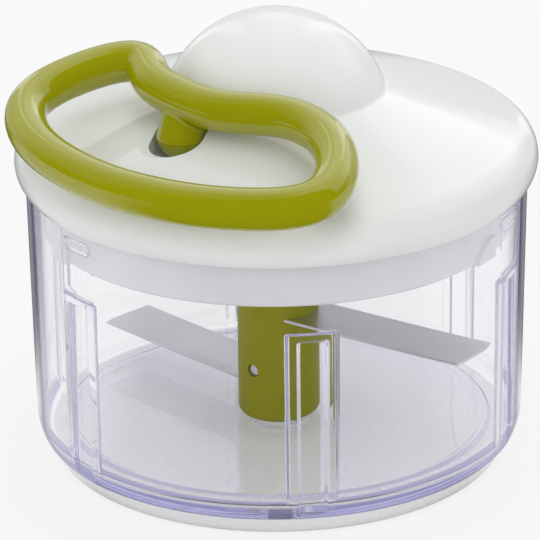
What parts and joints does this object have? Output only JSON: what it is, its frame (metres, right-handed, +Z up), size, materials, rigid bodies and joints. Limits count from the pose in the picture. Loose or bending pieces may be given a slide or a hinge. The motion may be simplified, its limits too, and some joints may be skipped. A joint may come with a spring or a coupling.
{
  "type": "crank food chopper",
  "caption": "Food chopper with a clear fluted bowl, a domed lid and a kidney-shaped pull handle that turns two flat blades on a central hub.",
  "frame": {"origin": "the bowl's axis at the surface that the base stands on, at the centre pad of the foot", "axes": "+Z up along the bowl's axis, -Y the front, where the handle's long side hangs over the lid's rim"},
  "size_m": [0.1308, 0.1417, 0.1145],
  "materials": {
    "clear_bowl": "clear polished",
    "foot": "matte",
    "steel": "polished",
    "blade_steel": "satin",
    "spring_steel": "blued",
    "bearing": "matte",
    "reel": "matte",
    "green_hub": "satin",
    "green_handle": "gloss",
    "white_lid": "gloss",
    "seal": "matte",
    "cord": "braided"
  },
  "bodies": {
    "bowl": {"bowl": "clear_bowl", "base_foot": "foot", "bowl_spindle": "steel", "thrust_washer": "bearing"},
    "blade_unit": {"hub_base": "green_hub", "hub_spacer_lower": "green_hub", "hub_spacer_upper": "green_hub", "hub_collar": "green_hub", "hub_core": "bearing", "hub_bush_lower": "bearing", "hub_bush_upper": "bearing", "hub_cross_pin": "steel", "blade_upper": "blade_steel", "blade_lower": "blade_steel"},
    "seal": {"lid_seal": "seal"},
    "lid": {"lid_cover": "white_lid", "lid_skirt": "white_lid", "lid_screw_1": "steel", "lid_screw_2": "steel", "lid_screw_3": "steel", "cord_eyelet": "bearing", "reel_axle": "steel", "drive_bush": "bearing", "spring_plate": "bearing", "recoil_spring": "spring_steel", "cord_lead": "cord", "pull_cord": "cord"},
    "reel": {"cord_reel": "reel", "reel_cord": "cord", "clutch_pawl_1": "reel", "clutch_pawl_2": "reel"},
    "drive": {"drive_shaft": "reel"},
    "handle": {"handle_grip": "green_handle", "handle_plug": "green_handle", "cord_knot": "cord"}
  },
  "joints": [
    {"name": "lid_lift", "type": "slide", "parent": "bowl", "child": "seal", "axis": [0, 0, 1], "range_m": [0, 0.09]},
    {"name": "lid_turn", "type": "hinge", "parent": "seal", "child": "lid", "pos_m": [0, 0, 0.075], "axis": [0, 0, 1], "range_deg": [0, 12]},
    {"name": "handle_pull", "type": "slide", "parent": "lid", "child": "handle", "axis": [0, 0, 1], "range_m": [0, 0.5], "stiffness_N_per_m": 10, "springref_m": -0.2, "deforming": ["pull_cord"]},
    {"name": "reel_spin", "type": "hinge", "parent": "lid", "child": "reel", "pos_m": [0, 0, 0.08], "axis": [0, 0, 1], "range_deg": [-10, 1450]},
    {"name": "drive_spin", "type": "hinge", "parent": "lid", "child": "drive", "pos_m": [0, 0, 0.07], "axis": [0, 0, 1], "range_deg": [-10, 1450]},
    {"name": "blade_spin", "type": "hinge", "parent": "bowl", "child": "blade_unit", "pos_m": [0, 0, 0.02], "axis": [0, 0, 1], "range_deg": [-10, 1450]}
  ],
  "couplings": [
    {"joint": "reel_spin", "follows": "handle_pull", "rad_per_m": 50},
    {"joint": "drive_spin", "follows": "handle_pull", "rad_per_m": 50},
    {"joint": "blade_spin", "follows": "handle_pull", "rad_per_m": 50}
  ]
}
